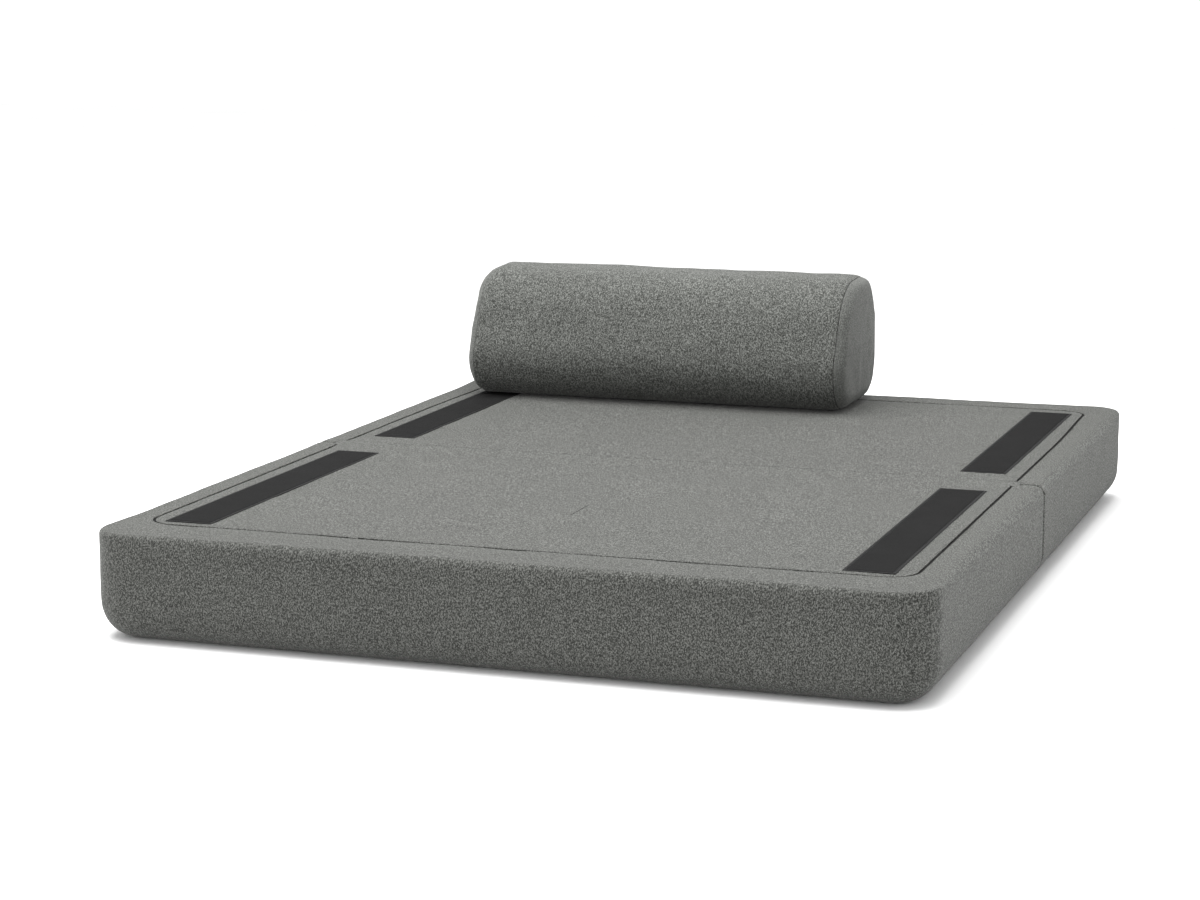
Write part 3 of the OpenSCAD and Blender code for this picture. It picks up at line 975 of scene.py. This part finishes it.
def bolster_press():
    """How far the filling has pressed each place of the bolster out, 0 at a seam to 1."""
    left = [bolster_end_ring(-1, a) for a in range(90, 0, -15)]
    body = [bolster_ring(mix(-STRAIGHT, STRAIGHT, i / 40)) for i in range(41)]
    right = [bolster_end_ring(1, a) for a in range(15, 91, 15)]
    rings = left + body + right
    points = [p for ring in rings for p in ring]
    faces = ring_faces(len(rings), SECTION)
    faces.append(tuple(range(SECTION)))
    faces.append(tuple(range(len(points) - SECTION, len(points))))

    def held(co):
        return seam_gap(co) < 0.006 or co.z < 0.2065
    return pressed("bolster_form", points, faces, held, voxel=0.008, cap=0.012)


def skin(name, rings, closing, material, press, seed, slot=None):
    """One bolster piece from its rings, pulled in at its seams and uneven like filled fabric. It
    stays flat beside the end seams, beside the zip and where the bolster rests on the bed."""
    points = [p for ring in rings for p in ring]
    faces = ring_faces(len(rings), SECTION, skip=slot)
    if closing:
        points.append(closing)
        start = (len(rings) - 1) * SECTION
        faces += [(start + i, len(points) - 1, start + (i + 1) % SECTION) for i in range(SECTION)]
    made = add_mesh(name, points, faces, material)
    outward(made, Vector((BOLSTER_X, ROLLS[-1][0], ROLLS[-1][1])))
    zip_place = zip_frame("bolster").translation
    work = bmesh.new()
    work.from_mesh(made.data)
    work.normal_update()
    for v in work.verts:
        co = v.co.copy()
        free = smooth((co.z - 0.205) / 0.05) * smooth(seam_gap(co) / 0.018)
        free *= smooth((math.hypot(co.y - zip_place.y, co.z - zip_place.z) - 0.012) / 0.03)
        spot = Vector((co.x * 4.5, co.y * 9, co.z * 9)) + Vector((seed, 0, 0))
        wave = noise.fractal(spot, 0.6, 2, 3)
        fine = noise.noise(Vector((co.x * 16, co.y * 30, co.z * 30 + seed)))
        swell = (0.0026 * (wave - 0.5) + 0.0005 * fine + 0.0032 * smooth(v.normal.z * 1.3)) * free
        if press:
            swell += 0.0028 * (press(co) - 0.6) * free
        v.co = co + v.normal * (swell - 0.0005 * math.exp(-seam_gap(co) / FALL))
    work.to_mesh(made.data)
    work.free()
    return made


def bolster():
    """The bolster's cover, which laps under its two end panels, and its zip."""
    press = bolster_press()
    turns = [0.1, 0.35, 0.8, 1.8, 3.4]
    sinks = [0.0020, 0.0005, 0.0001, 0.0, 0.0]
    lap = [(END_ANGLE + EDGE_ANGLE, 0.0042), (END_ANGLE + EDGE_ANGLE * 0.35, 0.0034)]
    ends = lap + [(END_ANGLE - EDGE_ANGLE * k, sink) for k, sink in zip(turns, sinks)] + [(4.5, 0.0)]
    left = [bolster_end_ring(-1, a, sink) for a, sink in ends]
    right = [bolster_end_ring(1, a, sink) for a, sink in reversed(ends)]
    count = 104
    body = [bolster_ring(mix(-STRAIGHT, STRAIGHT, i / count)) for i in range(count + 1)]
    rings = left + body + right
    zip_column = next(i for i, s in enumerate(STATIONS)
                      if len(s) == 2 and s[0] == ZIP_ROLL
                      and abs((s[1] + BOLSTER_ZIP_TILT) % 360) < 0.01)

    def slot(k, i):
        x = (rings[k][0][0] + rings[k + 1][0][0]) / 2 - BOLSTER_X
        return i in (zip_column - 1, zip_column) and abs(x) < BOLSTER_ZIP / 2

    cover = skin("bolster_body", rings, None, BOLSTER, press, 2.0, slot)
    thickened(cover, PANEL_T)
    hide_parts("bolster_cover")
    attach(cover, "bolster")
    for side, label in ((-1, "left"), (1, "right")):
        angles = [END_ANGLE + EDGE_ANGLE * k for k in turns]
        more = 7
        angles += [mix(angles[-1], 90, k / more) for k in range(1, more + 1)]
        rings_end = [bolster_end_ring(side, a, sink)
                     for a, sink in zip(angles, sinks + [0.0] * more)]
        face_x = BOLSTER_X + side * (BOLSTER_L / 2 + 0.001)
        rings_end, middle = end_cap(rings_end, face_x)
        panel = skin("bolster_" + label + "_panel", rings_end, middle, END, None, 5.0 + side)
        thickened(panel, PANEL_T)
        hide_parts("bolster_" + label + "_end")
        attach(panel, "bolster")
    zip_chain("bolster", BOLSTER_ZIP, ROLLS[ZIP_ROLL][2])


# --------------------
# Build
# --------------------
def build_halves():
    """Both halves with their panels, strips and zips, and the band between them."""
    whole = ring_faces(len(RINGS[1]), ROUND)
    press = half_press(half_shell(-1)[0], whole)
    for sign, body, kind, field in ((-1, "front", "hook", HOOK), (1, "rear", "loop", LOOP)):
        points, holds = half_shell(sign)
        lower = points[FIRST_LOWER * ROUND:(FIRST_LOWER + 1) * ROUND]
        if sign < 0:
            skip = slot_test([p[1] for p in lower], FRONT_ZIP_Y, FRONT_ZIP, LEFT_RUN, SIDE_RUN)
        else:
            skip = slot_test([p[0] for p in lower], 0.0, REAR_ZIP, 0, FOOT_RUN)
        faces = ring_faces(len(RINGS[sign]), ROUND, skip=skip)
        shell = pull_in(points, whole, holds, press, 1.0 if sign < 0 else 6.0, 0.0007)
        shell, faces = flipped(shell, faces, sign)
        cover = tidy(add_mesh(body + "_border", shell, faces, COVER))
        outward(cover, Vector((0, sign * 0.5, 0.1)))
        thickened(cover, PANEL_T)
        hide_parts(body + "_cover")
        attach(cover, body)
        top = top_panel(sign, body + "_quilt", body + "_top_panel")
        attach(top, body)
        material, slot = (COVER, "cover_fabric") if sign < 0 else (GRIP, "base_fabric")
        base = base_panel(sign, body + "_underside", material, body + "_base_panel")
        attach(base, body)
        for side, label in ((-1, "left"), (1, "right")):
            strip(f"{body}_{label}_{kind}", side, sign, field, body)
    hinge_band()
    row = (0.0, CENTRE_ROW[0], 0.0, CENTRE_ROW[1])
    stitched("front_centre_stitches", [row], HIGH - 0.0001, "front")
    zip_chain("front", FRONT_ZIP, BOTTOM_R)
    zip_chain("rear", REAR_ZIP, BOTTOM_R)


def dress_nodes():
    """Materials for the CAD nodes that stay: linings, foam, seam tapes, sliders and pulls."""
    for name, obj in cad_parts.items():
        if name.endswith("foam_core"):
            material = FOAM
        elif name.endswith("liner"):
            material = LINER
        elif name.endswith("seam_tape"):
            # Seam tapes get the near-black tape: partly their own tone and partly painted shade for
            # the ditch's shadow.
            material = SEAM
        elif name.endswith("slider") or name.endswith("pull"):
            material = METAL
            modify(obj, "BEVEL", width=0.0003, segments=2, limit_method="ANGLE")
        else:
            continue
        obj.data.materials.clear()
        obj.data.materials.append(material)


def lay_floor():
    ground = Shader("floor", roughness=0.9, specular=0.1)
    ground.coloured(ground.ramp(ground.noise(1.5), [(0.3, (0.90, 0.90, 0.90)),
                                                    (0.7, (0.92, 0.92, 0.92))]))
    reach = 14
    corners = [(-reach, -reach, 0), (reach, -reach, 0), (reach, reach, 0), (-reach, reach, 0)]
    add_mesh("floor", corners, [(0, 1, 2, 3)], ground.material)


def set_lights():
    """An even white surround, a large soft light overhead and a low one in front."""
    world = bpy.data.worlds.new("studio")
    world.use_nodes = True
    world.node_tree.nodes["Background"].inputs["Color"].default_value = (1, 1, 1, 1)
    world.node_tree.nodes["Background"].inputs["Strength"].default_value = 1.1
    bpy.context.scene.world = world

    def area(name, place, target, size, power):
        data = bpy.data.lights.new(name, "AREA")
        data.shape = "RECTANGLE"
        data.size, data.size_y = size
        data.energy = power
        lamp = bpy.data.objects.new(name, data)
        lamp.location = place
        lamp.rotation_euler = (Vector(target) - Vector(place)).to_track_quat("-Z", "Y").to_euler()
        bpy.context.scene.collection.objects.link(lamp)

    area("overhead", (-0.5, -0.2, 3.6), (0.0, 0.0, 0.1), (4.0, 4.0), 320)
    area("front_fill", (-0.7, -5.6, 1.2), (0.0, 0.4, 0.25), (3.5, 1.6), 44)


def set_camera():
    """The camera where the photo's was."""
    camera = bpy.data.cameras.new("camera")
    camera.lens = 85.2
    camera.sensor_width = 36
    camera.clip_end = 100
    eye = bpy.data.objects.new("camera", camera)
    eye.location = (1.721, -5.400, 1.2425)
    eye.rotation_euler = (math.radians(90 - 10.18), 0, math.radians(19.0))
    bpy.context.scene.collection.objects.link(eye)
    bpy.context.scene.camera = eye
    bpy.context.scene.view_settings.view_transform = "Standard"


build_halves()
bolster()
dress_nodes()
lay_floor()
set_lights()
set_camera()
